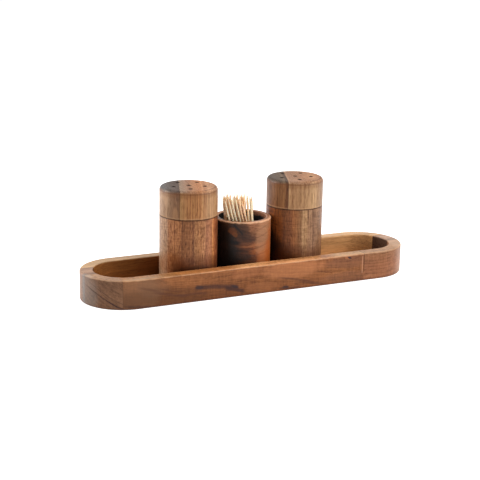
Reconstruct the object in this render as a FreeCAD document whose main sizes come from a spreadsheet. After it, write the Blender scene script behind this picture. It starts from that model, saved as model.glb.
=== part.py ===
import FreeCAD, Part
import math
import os
import Sketcher

from FreeCAD import Placement, Rotation, Vector

# A wooden table set: a long stadium-shaped tray glued up from five boards, two turned
# shakers with pull-off caps, and a turned cup that holds a bundle of toothpicks.
# Millimetres. The origin is the middle of the tray's underside, +X runs along the tray
# to the right, +Y to the back and +Z up.

doc = FreeCAD.newDocument("table_set")
sizes = doc.addObject("Spreadsheet::Sheet", "Sizes")

DRIVING_SIZES = [
    # the three pots and how they stand in the tray
    ("pot_diameter", 50.0),
    ("pot_gap", 1.15),
    ("pot_clearance", 0.3),
    ("pot_foot_bevel", 1.0),
    ("row_shift", -5.55),
    # the tray
    ("tray_length", 306.0),
    ("tray_height", 25.0),
    ("tray_wall", 11.2),
    ("tray_floor", 7.0),
    ("tray_rim_round", 1.2),
    ("tray_foot_round", 0.8),
    ("front_strip_width", 30.5),
    ("back_strip_width", 22.5),
    ("front_left_board_length", 23.6),
    ("front_right_board_length", 54.7),
    # the shakers
    ("shaker_body_height", 60.0),
    ("shaker_wall", 5.0),
    ("shaker_bottom", 8.0),
    ("seam_bevel", 0.3),
    # the caps
    ("cap_height", 24.8),
    ("cap_top_thickness", 6.0),
    ("cap_edge_round", 3.5),
    ("cap_seat_gap", 0.2),
    ("cap_turn", -21.0),
    ("cap_glue_line_offset", 8.5),
    ("spigot_length", 9.0),
    ("spigot_wall", 4.0),
    ("spigot_clearance", 0.3),
    ("vent_diameter", 2.2),
    ("vent_wall_gap", 0.6),
    ("vent_count", 5.0),
    ("salt_vent_angle", 58.0),
    ("pepper_vent_angle", 63.5),
    # the silicone seal rings
    ("seal_thickness", 2.0),
    ("seal_height", 2.4),
    ("seal_bevel", 0.5),
    ("seal_depth", 5.0),
    ("seal_fit", 0.06),
    ("seal_seat_gap", 0.05),
    ("seal_side_gap", 0.15),
    # the toothpick cup
    ("cup_height", 54.0),
    ("cup_wall", 4.5),
    ("cup_bottom", 7.4),
    ("cup_rim_round", 1.2),
    # the toothpicks and their bundle
    ("pick_length", 65.0),
    ("pick_diameter", 2.0),
    ("pick_taper", 9.0),
    ("pick_point_diameter", 0.5),
    ("pick_clearance", 0.3),
    ("pick_rows", 6.0),
    ("pick_row_gap", 0.45),
    ("pick_side_gap", 0.85),
    ("pick_front_inset", 3.7),
    ("pick_left_reach", 15.2),
    ("pick_right_reach", 8.8),
    ("pick_lean_side", 4.3),
    ("pick_lean_swing", 2.2),
    ("pick_front_lean", 6.0),
    ("pick_lean_back", 3.0),
    ("pick_rise", 2.0),
    ("pick_hump", 1.4),
    ("pick_scatter", 0.34),
    ("pick_turn", -25.7),
]

for row, (alias, size) in enumerate(DRIVING_SIZES, start=1):
    sizes.set(f"A{row}", str(size))
    sizes.setAlias(f"A{row}", alias)
doc.recompute()

# Sizes that follow from the driving ones.
POT_RADIUS = "Sizes.pot_diameter / 2"
SALT_X = "Sizes.row_shift - Sizes.pot_diameter - Sizes.pot_gap"
PEPPER_X = "Sizes.row_shift + Sizes.pot_diameter + Sizes.pot_gap"
RECESS_RADIUS = "Sizes.pot_diameter / 2 + Sizes.pot_clearance"
TRAY_RADIUS = f"{RECESS_RADIUS} + Sizes.tray_wall"
TRAY_END_X = f"Sizes.tray_length / 2 - ({TRAY_RADIUS})"
BORE_RADIUS = "Sizes.pot_diameter / 2 - Sizes.shaker_wall"
SPIGOT_RADIUS = f"{BORE_RADIUS} - Sizes.spigot_clearance"
CAVITY_RADIUS = f"{SPIGOT_RADIUS} - Sizes.spigot_wall"
VENT_RING_RADIUS = f"({CAVITY_RADIUS} - Sizes.vent_wall_gap - Sizes.vent_diameter / 2)"
SEAL_RADIUS = f"{BORE_RADIUS} - Sizes.seal_fit"
SEAL_HOLE_RADIUS = f"{SEAL_RADIUS} - Sizes.seal_thickness"
GROOVE_RADIUS = f"{SEAL_HOLE_RADIUS} - Sizes.seal_seat_gap"
GROOVE_HALF_WIDTH = "Sizes.seal_height / 2 + Sizes.seal_side_gap"
CAP_Z = "Sizes.tray_floor + Sizes.shaker_body_height + Sizes.cap_seat_gap"
CUP_BORE_RADIUS = "Sizes.pot_diameter / 2 - Sizes.cup_wall"

CLOSE_ENOUGH = 0.001
PICK_FLATS = 8


def value(expression):
    """The number that an expression on the sheet gives now."""
    return float(sizes.evalExpression(expression))


def bind(thing, **expressions):
    """Tie properties of an object to the sheet. A double underscore stands for a dot."""
    for name, expression in expressions.items():
        thing.setExpression(name.replace("__", "."), expression)


def place(thing, x="0", z="0", turn=None):
    """Tie where an object stands, and how far it is turned about its own axis."""
    if turn:
        thing.Placement = Placement(Vector(), Rotation(Vector(0, 0, 1), value(turn)))
        thing.setExpression("Placement.Rotation.Angle", turn)
    bind(thing, Placement__Base__x=x, Placement__Base__z=z)


def new_body(label):
    body = doc.addObject("PartDesign::Body", label)
    body.Label = label
    return body


def new_sketch(body, name, plane_role, height="0"):
    """A sketch on one of the body's own origin planes, raised by height."""
    plane = next(f for f in body.Origin.OriginFeatures if f.Role == plane_role)
    sketch = body.newObject("Sketcher::SketchObject", name)
    sketch.AttachmentSupport = [(plane, "")]
    sketch.MapMode = "FlatFace"
    bind(sketch, AttachmentOffset__Base__z=height)
    return sketch


def dimension(sketch, kind, *references, size):
    """A dimension constraint whose size is tied to the sheet."""
    constraint = Sketcher.Constraint(kind, *references, value(size))
    number = sketch.addConstraint(constraint)
    sketch.setExpression(f"Constraints[{number}]", size)


def draw_outline(sketch, corners):
    """A closed outline of straight lines. A corner is its two distances from the origin."""
    points = [Vector(value(across), value(up), 0) for across, up in corners]
    for start, end in zip(points, points[1:] + points[:1]):
        sketch.addGeometry(Part.LineSegment(start, end), False)
    for line, (across, up) in enumerate(corners):
        next_line = (line + 1) % len(corners)
        sketch.addConstraint(Sketcher.Constraint("Coincident", line, 2, next_line, 1))
        dimension(sketch, "DistanceX", -1, 1, line, 1, size=across)
        dimension(sketch, "DistanceY", -1, 1, line, 1, size=up)


def draw_circle(sketch, radius, x="0", y="0"):
    centre = Vector(value(x), value(y), 0)
    circle = sketch.addGeometry(Part.Circle(centre, Vector(0, 0, 1), value(radius)), False)
    dimension(sketch, "Radius", circle, size=radius)
    dimension(sketch, "DistanceX", -1, 1, circle, 3, size=x)
    dimension(sketch, "DistanceY", -1, 1, circle, 3, size=y)


def draw_stadium(sketch, end_x, radius):
    """Two half circles joined by two straight sides, tangent all round."""
    x, r = value(end_x), value(radius)
    quarter = math.pi / 2
    up = Vector(0, 0, 1)
    right_end = Part.ArcOfCircle(Part.Circle(Vector(x, 0, 0), up, r), -quarter, quarter)
    left_end = Part.ArcOfCircle(Part.Circle(Vector(-x, 0, 0), up, r), quarter, 3 * quarter)
    back_side = Part.LineSegment(Vector(x, r, 0), Vector(-x, r, 0))
    front_side = Part.LineSegment(Vector(-x, -r, 0), Vector(x, -r, 0))
    loop = sketch.addGeometry([right_end, back_side, left_end, front_side], False)
    for edge, next_edge in zip(loop, loop[1:] + loop[:1]):
        sketch.addConstraint(Sketcher.Constraint("Tangent", edge, 2, next_edge, 1))
    for arc, centre_x in ((loop[0], end_x), (loop[2], f"-({end_x})")):
        dimension(sketch, "Radius", arc, size=radius)
        dimension(sketch, "DistanceX", -1, 1, arc, 3, size=centre_x)
        dimension(sketch, "DistanceY", -1, 1, arc, 3, size="0")


def feature(body, kind, name, profile, **expressions):
    made = body.newObject(kind, name)
    made.Profile = profile
    bind(made, **expressions)
    doc.recompute()
    return made


def turned(label, corners):
    """A piece turned on a lathe: half its outline, spun once round its axis."""
    body = new_body(label)
    sketch = new_sketch(body, "outline", "XZ_Plane")
    draw_outline(sketch, corners)
    spun = body.newObject("PartDesign::Revolution", "turning")
    spun.Profile = sketch
    spun.ReferenceAxis = (sketch, ["V_Axis"])
    spun.Angle = 360
    doc.recompute()
    return body


def reach(edge):
    """How far an edge lies from the axis or the middle line that it goes round."""
    if isinstance(edge.Curve, Part.Circle):
        return edge.Curve.Radius
    return abs(edge.CenterOfMass.y)


def loop_edges(shape, radius, height):
    """The names of the level edges at one reach and one height."""
    names = []
    for number, edge in enumerate(shape.Edges, start=1):
        box = edge.BoundBox
        level = abs(box.ZMin - height) < CLOSE_ENOUGH and abs(box.ZMax - height) < CLOSE_ENOUGH
        if level and abs(reach(edge) - radius) < CLOSE_ENOUGH:
            names.append(f"Edge{number}")
    return names


def soften(body, kind, name, loops, size):
    """Round or bevel the level edges given as pairs of reach and height."""
    tip = body.Tip
    names = []
    for radius, height in loops:
        names += loop_edges(tip.Shape, value(radius), value(height))
    softened = body.newObject(kind, name)
    softened.Base = (tip, names)
    size_property = "Radius" if kind == "PartDesign::Fillet" else "Size"
    softened.setExpression(size_property, size)
    doc.recompute()
    return softened


def round_over(body, name, loops, size):
    return soften(body, "PartDesign::Fillet", name, loops, size)


def bevel(body, name, loops, size):
    return soften(body, "PartDesign::Chamfer", name, loops, size)


def sawn(label, form, low, high):
    """The share of a glued-up form that lies in one board, between two corners."""
    block = doc.addObject("Part::Box", f"{label}_blank")
    bind(
        block,
        Length=f"({high[0]}) - ({low[0]})",
        Width=f"({high[1]}) - ({low[1]})",
        Height=f"({high[2]}) - ({low[2]})",
        Placement__Base__x=low[0],
        Placement__Base__y=low[1],
        Placement__Base__z=low[2],
    )
    board = doc.addObject("Part::Common", label)
    board.Label = label
    board.Base = form
    board.Tool = block
    doc.recompute()
    return board


# The tray: a stadium with a flat-bottomed recess, carved from a glued-up panel.


def make_tray_form():
    form = new_body("tray_form")
    outside = new_sketch(form, "outside", "XY_Plane")
    draw_stadium(outside, TRAY_END_X, TRAY_RADIUS)
    feature(form, "PartDesign::Pad", "panel", outside, Length="Sizes.tray_height")
    mouth = new_sketch(form, "mouth", "XY_Plane", height="Sizes.tray_height")
    draw_stadium(mouth, TRAY_END_X, RECESS_RADIUS)
    depth = "Sizes.tray_height - Sizes.tray_floor"
    feature(form, "PartDesign::Pocket", "recess", mouth, Length=depth)
    rim = [(TRAY_RADIUS, "Sizes.tray_height"), (RECESS_RADIUS, "Sizes.tray_height")]
    round_over(form, "rim", rim, "Sizes.tray_rim_round")
    round_over(form, "foot", [(TRAY_RADIUS, "0")], "Sizes.tray_foot_round")
    return form


def make_tray_boards():
    """Three strips lie side by side, and the front strip is three boards end to end."""
    form = make_tray_form()
    left, right = "-Sizes.tray_length / 2", "Sizes.tray_length / 2"
    front, back = f"-({TRAY_RADIUS})", TRAY_RADIUS
    front_line = f"{front} + Sizes.front_strip_width"
    back_line = f"{back} - Sizes.back_strip_width"
    left_butt = f"{left} + Sizes.front_left_board_length"
    right_butt = f"{right} - Sizes.front_right_board_length"
    top = "Sizes.tray_height"
    return [
        sawn("tray_front_left_board", form, (left, front, "0"), (left_butt, front_line, top)),
        sawn("tray_front_board", form, (left_butt, front, "0"), (right_butt, front_line, top)),
        sawn("tray_front_right_board", form, (right_butt, front, "0"), (right, front_line, top)),
        sawn("tray_middle_board", form, (left, front_line, "0"), (right, back_line, top)),
        sawn("tray_back_board", form, (left, back_line, "0"), (right, back, top)),
    ]


# The shakers: a turned pot bored from above, and a cap with a spigot that plugs the bore.


def make_pot(label, height, bore_radius, bottom):
    """A turned pot with a flat-bottomed bore and a bevelled foot."""
    corners = [
        ("0", "0"),
        (POT_RADIUS, "0"),
        (POT_RADIUS, height),
        (bore_radius, height),
        (bore_radius, bottom),
        ("0", bottom),
    ]
    pot = turned(label, corners)
    bevel(pot, "foot", [(POT_RADIUS, "0")], "Sizes.pot_foot_bevel")
    return pot


def make_shaker_body(name, x):
    height = "Sizes.shaker_body_height"
    body = make_pot(f"{name}_shaker_body", height, BORE_RADIUS, "Sizes.shaker_bottom")
    bevel(body, "mouth", [(POT_RADIUS, height), (BORE_RADIUS, height)], "Sizes.seam_bevel")
    place(body, x, "Sizes.tray_floor")
    return body


def make_cap_form(name):
    """A cap, from the shoulder that meets the shaker body up, with its spigot below."""
    groove_middle = "-Sizes.seal_depth"
    groove_top = f"{groove_middle} + {GROOVE_HALF_WIDTH}"
    groove_foot = f"{groove_middle} - ({GROOVE_HALF_WIDTH})"
    ceiling = "Sizes.cap_height - Sizes.cap_top_thickness"
    corners = [
        ("0", "Sizes.cap_height"),
        (POT_RADIUS, "Sizes.cap_height"),
        (POT_RADIUS, "0"),
        (SPIGOT_RADIUS, "0"),
        (SPIGOT_RADIUS, groove_top),
        (GROOVE_RADIUS, groove_top),
        (GROOVE_RADIUS, groove_foot),
        (SPIGOT_RADIUS, groove_foot),
        (SPIGOT_RADIUS, "-Sizes.spigot_length"),
        (CAVITY_RADIUS, "-Sizes.spigot_length"),
        (CAVITY_RADIUS, ceiling),
        ("0", ceiling),
    ]
    cap = turned(f"{name}_cap_form", corners)
    round_over(cap, "top_edge", [(POT_RADIUS, "Sizes.cap_height")], "Sizes.cap_edge_round")
    lower_edges = [(POT_RADIUS, "0"), (SPIGOT_RADIUS, "-Sizes.spigot_length")]
    bevel(cap, "lower_edges", lower_edges, "Sizes.seam_bevel")
    drill_vents(cap, f"Sizes.{name}_vent_angle")
    return cap


def drill_vents(cap, first_angle):
    """One vent in the middle of the cap and a ring of them round it, inside the cavity's wall."""
    undrilled = cap.Tip.Shape.Volume
    middle = new_sketch(cap, "middle_vent_place", "XY_Plane")
    draw_circle(middle, "Sizes.vent_diameter / 2")
    ring_place = new_sketch(cap, "first_vent_place", "XY_Plane")
    across = f"{VENT_RING_RADIUS} * cos({first_angle})"
    back = f"{VENT_RING_RADIUS} * sin({first_angle})"
    draw_circle(ring_place, "Sizes.vent_diameter / 2", across, back)
    for name, place_sketch in (("middle_vent", middle), ("first_vent", ring_place)):
        vent = cap.newObject("PartDesign::Pocket", name)
        vent.Profile = place_sketch
        vent.Reversed = True
        vent.setExpression("Length", "Sizes.cap_height")
        doc.recompute()
    ring = cap.newObject("PartDesign::PolarPattern", "vent_ring")
    ring.Originals = [vent]
    ring.Axis = (ring_place, ["N_Axis"])
    ring.Angle = 360
    ring.setExpression("Occurrences", "Sizes.vent_count")
    cap.Tip = ring
    doc.recompute()
    one_vent = math.pi / 4 * sizes.vent_diameter ** 2 * sizes.cap_top_thickness
    drilled = (undrilled - cap.Shape.Volume) / one_vent
    print(f"{cap.Label}: the vents took away {drilled:.3f} vents of wood")


def make_cap_staves(name, x):
    """Each cap is two staves, glued along a plane to one side of its axis."""
    form = make_cap_form(name)
    line = "-Sizes.cap_glue_line_offset"
    left, right = f"-({POT_RADIUS})", POT_RADIUS
    foot, top = "-Sizes.spigot_length", "Sizes.cap_height"
    narrow = sawn(f"{name}_cap_narrow_stave", form, (left, left, foot), (line, right, top))
    wide = sawn(f"{name}_cap_wide_stave", form, (line, left, foot), (right, right, top))
    for stave in (narrow, wide):
        place(stave, x, CAP_Z, turn="Sizes.cap_turn")
    return [narrow, wide]


def make_seal_ring(name, x):
    """A silicone band in the spigot's groove, its outer corners bevelled to slide in."""
    top, foot = "Sizes.seal_height / 2", "-Sizes.seal_height / 2"
    corners = [
        (SEAL_HOLE_RADIUS, foot),
        (f"{SEAL_RADIUS} - Sizes.seal_bevel", foot),
        (SEAL_RADIUS, f"{foot} + Sizes.seal_bevel"),
        (SEAL_RADIUS, f"{top} - Sizes.seal_bevel"),
        (f"{SEAL_RADIUS} - Sizes.seal_bevel", top),
        (SEAL_HOLE_RADIUS, top),
    ]
    ring = turned(f"{name}_seal_ring", corners)
    place(ring, x, f"{CAP_Z} - Sizes.seal_depth")
    return ring


def make_shaker(name, x):
    return [make_shaker_body(name, x)] + make_cap_staves(name, x) + [make_seal_ring(name, x)]


# The cup and its toothpicks.


def make_cup():
    cup = make_pot("toothpick_cup", "Sizes.cup_height", CUP_BORE_RADIUS, "Sizes.cup_bottom")
    rim = [(POT_RADIUS, "Sizes.cup_height"), (CUP_BORE_RADIUS, "Sizes.cup_height")]
    round_over(cup, "rim", rim, "Sizes.cup_rim_round")
    place(cup, "Sizes.row_shift", "Sizes.tray_floor")
    return cup


def make_pick_form():
    """One toothpick, pointed at both ends, standing on its lower point.

    It is milled with flats, few enough to keep the whole bundle light.
    """
    point_radius = "Sizes.pick_point_diameter / 2"
    pick_radius = "Sizes.pick_diameter / 2"
    levels = [
        (point_radius, "0"),
        (pick_radius, "Sizes.pick_taper"),
        (pick_radius, "Sizes.pick_length - Sizes.pick_taper"),
        (point_radius, "Sizes.pick_length"),
    ]
    sections = []
    for number, (radius, height) in enumerate(levels, start=1):
        section = doc.addObject("Part::RegularPolygon", f"pick_section_{number}")
        section.Polygon = PICK_FLATS
        bind(section, Circumradius=radius, Placement__Base__z=height)
        sections.append(section)
    pick = doc.addObject("Part::Loft", "pick_form")
    pick.Sections = sections
    pick.Solid = True
    pick.Ruled = True
    doc.recompute()
    return pick


def scatter(number):
    """A steady, uneven sequence between -1 and 1."""
    golden_share = 0.6180339887
    return 2 * ((number * golden_share) % 1) - 1


def row_span(depth, side_lean, reach_limit):
    """The left and right ends of a row of picks that keep inside the bore at the rim and foot."""
    foot_depth = depth + sizes.pick_lean_back
    rim_half = math.sqrt(max(reach_limit ** 2 - depth ** 2, 0))
    foot_half = math.sqrt(max(reach_limit ** 2 - foot_depth ** 2, 0))
    left = max(-rim_half, -foot_half - side_lean, -sizes.pick_left_reach)
    right = min(rim_half, foot_half - side_lean, sizes.pick_right_reach)
    return left + sizes.pick_scatter, right - sizes.pick_scatter


def pick_axes():
    """The foot and direction of each pick.

    Rows stand behind each other and lean unlike, the front one most. In each row the picks
    in the middle are wedged higher than those at its ends.
    """
    reach_limit = value(CUP_BORE_RADIUS) - sizes.pick_diameter / 2 - sizes.pick_clearance
    foot_level = sizes.cup_bottom + sizes.pick_clearance
    row_pitch = sizes.pick_diameter + sizes.pick_row_gap
    side_pitch = sizes.pick_diameter + sizes.pick_side_gap
    axes = []
    for row in range(int(sizes.pick_rows)):
        depth = -reach_limit + sizes.pick_front_inset + row * row_pitch
        side_lean = sizes.pick_lean_side + sizes.pick_lean_swing * scatter(row + 1)
        if row == 0:
            side_lean += sizes.pick_front_lean
        left, right = row_span(depth, side_lean, reach_limit)
        gaps = int((right - left) / side_pitch)
        for place_in_row in range(gaps + 1):
            number = len(axes)
            share = place_in_row / max(gaps, 1)
            across = left + (right - left) * share
            at_rim = across + sizes.pick_scatter * scatter(number)
            at_foot = across + side_lean + sizes.pick_scatter * scatter(3 * number)
            chance, hump = (1 + scatter(2 * number)) / 2, 4 * share * (1 - share)
            rise = sizes.pick_rise * chance + sizes.pick_hump * hump
            foot = Vector(at_foot, depth + sizes.pick_lean_back, foot_level)
            rim = Vector(at_rim, depth, sizes.cup_height)
            direction = (rim - foot).normalize()
            axes.append((foot + direction * rise, direction))
    return axes


def make_toothpicks():
    """The bundle: separate picks of one shape, leaning together against the cup's rim."""
    pick = make_pick_form().Shape
    upright = Vector(0, 0, 1)
    picks = []
    for foot, direction in pick_axes():
        placed = pick.copy()
        placed.Placement = Placement(foot, Rotation(upright, direction))
        picks.append(placed)
    bundle = doc.addObject("Part::Feature", "toothpicks")
    bundle.Label = "toothpicks"
    bundle.Shape = Part.makeCompound(picks)
    where = Vector(sizes.row_shift, 0, sizes.tray_floor)
    bundle.Placement = Placement(where, Rotation(upright, sizes.pick_turn))
    print(f"toothpicks: {len(picks)} picks in {int(sizes.pick_rows)} rows")
    return bundle


def write_pieces(pieces):
    """Check every object of the document, then write each piece to a file of its name."""
    doc.recompute()
    for thing in doc.Objects:
        if "Invalid" in thing.State or "Error" in thing.State:
            raise RuntimeError(f"{thing.Label} did not build: {thing.State}")
    for piece in pieces:
        if piece.Shape.isNull() or not piece.Shape.isValid():
            raise RuntimeError(f"{piece.Label} has no sound shape")
    os.makedirs("parts", exist_ok=True)
    for piece in pieces:
        piece.Shape.exportStep(f"parts/{piece.Label}.step")
        box = piece.Shape.BoundBox
        spread = f"{box.XLength:.2f} x {box.YLength:.2f} x {box.ZLength:.2f} mm"
        solids = len(piece.Shape.Solids)
        print(f"{piece.Label}: {solids} solid(s), {piece.Shape.Volume:.1f} mm3, {spread}")


all_pieces = make_tray_boards()
all_pieces += make_shaker("salt", SALT_X)
all_pieces += make_shaker("pepper", PEPPER_X)
all_pieces += [make_cup(), make_toothpicks()]
write_pieces(all_pieces)
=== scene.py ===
# %% [markdown]
# # A wooden table set
# The real object is a long shallow tray of light and dark hardwood with two turned shakers
# and a turned cup of toothpicks standing in it. Its shapes were made in a CAD program, and
# they come in here as a fixed frame, in metres. This lesson gives every piece its wood,
# rebuilds the toothpicks with more detail, and sets up a small studio around the object.
# The frame is loaded first.

# %% Load the frame
import math
import random

import bpy
import numpy as np
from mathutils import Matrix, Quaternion, Vector


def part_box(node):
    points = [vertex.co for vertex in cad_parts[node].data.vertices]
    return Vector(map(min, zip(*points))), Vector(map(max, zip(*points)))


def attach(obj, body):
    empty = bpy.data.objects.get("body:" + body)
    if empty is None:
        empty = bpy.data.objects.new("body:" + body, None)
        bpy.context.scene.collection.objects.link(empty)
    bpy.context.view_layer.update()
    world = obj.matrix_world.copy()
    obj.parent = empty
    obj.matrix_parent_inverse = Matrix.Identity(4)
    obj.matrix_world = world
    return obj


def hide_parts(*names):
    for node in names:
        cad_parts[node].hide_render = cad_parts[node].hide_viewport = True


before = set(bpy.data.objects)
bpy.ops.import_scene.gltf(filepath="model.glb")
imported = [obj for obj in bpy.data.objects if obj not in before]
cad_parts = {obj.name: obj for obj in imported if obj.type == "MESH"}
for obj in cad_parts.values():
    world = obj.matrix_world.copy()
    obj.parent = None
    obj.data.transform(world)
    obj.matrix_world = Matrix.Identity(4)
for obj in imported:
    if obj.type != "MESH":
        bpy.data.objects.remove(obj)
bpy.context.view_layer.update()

# %% [markdown]
# ## The camera
# The object was photographed with a long lens from the front left, a little above it. A
# camera can be aimed with a track constraint or placed by hand. Here it gets an eye point, a
# heading, a dip and a roll, because those four say in plain words how a photographer stood.

# %% Place the camera
EYE = Vector((-0.47837, -0.96622, 0.32980))
HEADING = math.radians(25.99)  # to the right of straight back
DIP = math.radians(15.143)  # below the horizon
ROLL = math.radians(1.072)
PICTURE_SIDE = 480
FOCAL_PIXELS = 1271.12
SENSOR = 36.0


def make_camera():
    data = bpy.data.cameras.new("studio_camera")
    data.sensor_fit = "HORIZONTAL"
    data.sensor_width = SENSOR
    data.lens = FOCAL_PIXELS / PICTURE_SIDE * SENSOR
    data.clip_start, data.clip_end = 0.01, 100.0
    camera = bpy.data.objects.new("studio_camera", data)
    bpy.context.scene.collection.objects.link(camera)
    level = Vector((math.sin(HEADING), math.cos(HEADING), 0))
    gaze = level * math.cos(DIP) - Vector((0, 0, math.sin(DIP)))
    camera.rotation_mode = "QUATERNION"
    camera.rotation_quaternion = gaze.to_track_quat("-Z", "Y") @ Quaternion((0, 0, 1), ROLL)
    camera.location = EYE
    bpy.context.scene.camera = camera
    return camera


camera = make_camera()
print("lens in mm:", round(camera.data.lens, 2))

# %% [markdown]
# ## A short way to write node trees
# A wood finish is mostly arithmetic on distances: along the grain, across it, and from the
# heart of the tree. Wiring that by hand takes hundreds of lines. Two small classes let the
# lesson write it as sums. A Wire is one output of a node, and adding or multiplying wires
# adds Math nodes. A Recipe holds one node tree, and its node method makes any other node.

# %% Wires and recipes
class Wire:
    """One output socket in a recipe. Sums on it add Math nodes to the same tree."""

    def __init__(self, recipe, socket):
        self.recipe, self.socket = recipe, socket

    def math(self, operation, first, second=0.0):
        return self.recipe.node("ShaderNodeMath", {"operation": operation}, {0: first, 1: second})

    def __add__(self, other):
        return self.math("ADD", self, other)

    def __sub__(self, other):
        return self.math("SUBTRACT", self, other)

    def __rsub__(self, other):
        return self.math("SUBTRACT", other, self)

    def __mul__(self, other):
        return self.math("MULTIPLY", self, other)

    def __truediv__(self, other):
        return self.math("DIVIDE", self, other)

    def __rtruediv__(self, other):
        return self.math("DIVIDE", other, self)

    def __pow__(self, other):
        return self.math("POWER", self, other)

    def __abs__(self):
        return self.math("ABSOLUTE", self)

    def __or__(self, other):
        """The larger of two masks: one or the other."""
        return self.math("MAXIMUM", self, other)

    __radd__, __rmul__ = __add__, __mul__


class Recipe:
    """One node tree and the ways to add to it."""

    def __init__(self, tree):
        self.tree, self.kept = tree, {}
        tree.nodes.clear()

    def once(self, key, make):
        """Make a measurement when it is first asked for, and keep it for later marks."""
        if key not in self.kept:
            self.kept[key] = make()
        return self.kept[key]

    def node(self, kind, settings=None, inputs=None, output=0):
        """Add a node: its settings first, then the numbers, colours or wires it takes."""
        made = self.tree.nodes.new(kind)
        for name, setting in (settings or {}).items():
            if name == "stops":
                fill_ramp(made.color_ramp, setting)
            else:
                setattr(made, name, setting)
        for name, given in (inputs or {}).items():
            socket = made.inputs[name]
            if isinstance(given, Wire):
                self.tree.links.new(given.socket, socket)
            elif hasattr(given, "__len__") and len(given) < len(socket.default_value):
                socket.default_value = (*given, 1.0)
            else:
                socket.default_value = given
        return Wire(self, made.outputs[output] if made.outputs else None)

    def step(self, wire, start, end):
        """0 at start and before it, 1 at end and after it, smooth between."""
        settings = {"interpolation_type": "SMOOTHSTEP"}
        inputs = {"Value": wire, "From Min": start, "From Max": end}
        return self.node("ShaderNodeMapRange", settings, inputs)

    def blend(self, share, first, second):
        """Mix two colours: all first at share 0, all second at share 1."""
        inputs = {0: share, 6: first, 7: second}
        return self.node("ShaderNodeMix", {"data_type": "RGBA"}, inputs, 2)

    def tint(self, first, second):
        """Multiply two colours channel by channel."""
        return self.node("ShaderNodeVectorMath", {"operation": "MULTIPLY"}, {0: first, 1: second})


def fill_ramp(ramp, stops):
    """Give a ramp its stops: pairs of a place from 0 to 1 and a colour."""
    while len(ramp.elements) < len(stops):
        ramp.elements.new(1.0)
    for element, (place, colour) in zip(ramp.elements, stops):
        element.position, element.color = place, (*colour, 1.0)


def stain(red, green, blue):
    """A colour from the 0 to 255 numbers of a paint chart, made linear for the shader."""
    shares = [channel / 255 for channel in (red, green, blue)]
    return tuple(s / 12.92 if s < 0.04045 else ((s + 0.055) / 1.055) ** 2.4 for s in shares)


print("middle grey is", [round(c, 3) for c in stain(118, 118, 118)])

# %% [markdown]
# ## Measuring inside the wood
# Wood is a solid, so its pattern has to run through the piece: stripes on the side become
# dots and arcs on the end. A picture wrapped round the surface can't do that. Instead the
# material reads each point's place in its own piece, and turns it into three distances in
# millimetres: along the grain, across the plank, and through it. Noise that is stretched
# along the first one gives fibres, pores and streaks that agree on every face.

# %% Distances and noises
MM = 1000.0
UP = Vector((0, 0, 1))
ALONG_TRAY = Vector((1, 0, 0))
TO_BACK = Vector((0, 1, 0))
ACROSS_VIEW = Vector((math.cos(HEADING), -math.sin(HEADING), 0))
GLUE_NORMAL = Vector((math.cos(math.radians(21)), -math.sin(math.radians(21)), 0))


def in_mm(recipe, centre):
    """Where a point is in its piece, in mm from the centre."""
    place = recipe.node("ShaderNodeTexCoord", output="Object")
    shift = tuple(-MM * c for c in centre)
    settings = {"operation": "MULTIPLY_ADD"}
    return recipe.node("ShaderNodeVectorMath", settings, {0: place, 1: (MM, MM, MM), 2: shift})


def distance_along(recipe, place, direction):
    settings = {"operation": "DOT_PRODUCT"}
    inputs = {0: place, 1: tuple(direction)}
    key = tuple(round(part, 6) for part in direction)
    return recipe.once(key, lambda: recipe.node("ShaderNodeVectorMath", settings, inputs, "Value"))


def plank_axes(recipe, place, grain, across):
    return [distance_along(recipe, place, d) for d in (grain, across, grain.cross(across))]


def noise(recipe, axes, spot, detail=2.0, roughness=0.5, seed=0.0):
    """Noise from 0 to 1 with spots as long as spot says, in mm, along each axis."""
    return noise_at(recipe, recipe.node("ShaderNodeCombineXYZ", inputs=dict(enumerate(axes))), spot, detail, roughness, seed)


def noise_at(recipe, place, spot, detail, roughness, seed):
    shares = {0: place, 1: tuple(1 / length for length in spot), 2: (seed, seed, seed)}
    stretched = recipe.node("ShaderNodeVectorMath", {"operation": "MULTIPLY_ADD"}, shares)
    inputs = {"Vector": stretched, "Scale": 1.0, "Detail": detail, "Roughness": roughness}
    return recipe.node("ShaderNodeTexNoise", {"noise_dimensions": "3D"}, inputs)


def noise_line(recipe, distance, detail=2.0, roughness=0.6):
    """Noise from 0 to 1 that changes along one distance only."""
    inputs = {"W": distance, "Scale": 1.0, "Detail": detail, "Roughness": roughness}
    return recipe.node("ShaderNodeTexNoise", {"noise_dimensions": "1D"}, inputs)


# %% [markdown]
# ## The wood recipe
# All the wood here is one open-pored, oiled hardwood, so one recipe serves every piece, and
# each piece only brings its own numbers. The recipe has layers. Zones are the broad stripes
# of light sapwood and dark heartwood across a plank. Bands are the yearly rings, drawn by how
# far a point is from the heart of the tree. Streaks are the long fibres, dashes the mottled
# marks of curly grain, strokes the short dark lines, and ripples the faint waves that cross
# the grain. Pores are tiny dark slits. Drift bends all of them so that no line is straight,
# and a branch pushes the rings aside. A share of each is added up to one tone, which darkens
# towards red-brown and lightens towards straw, as the real oil does.

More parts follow.
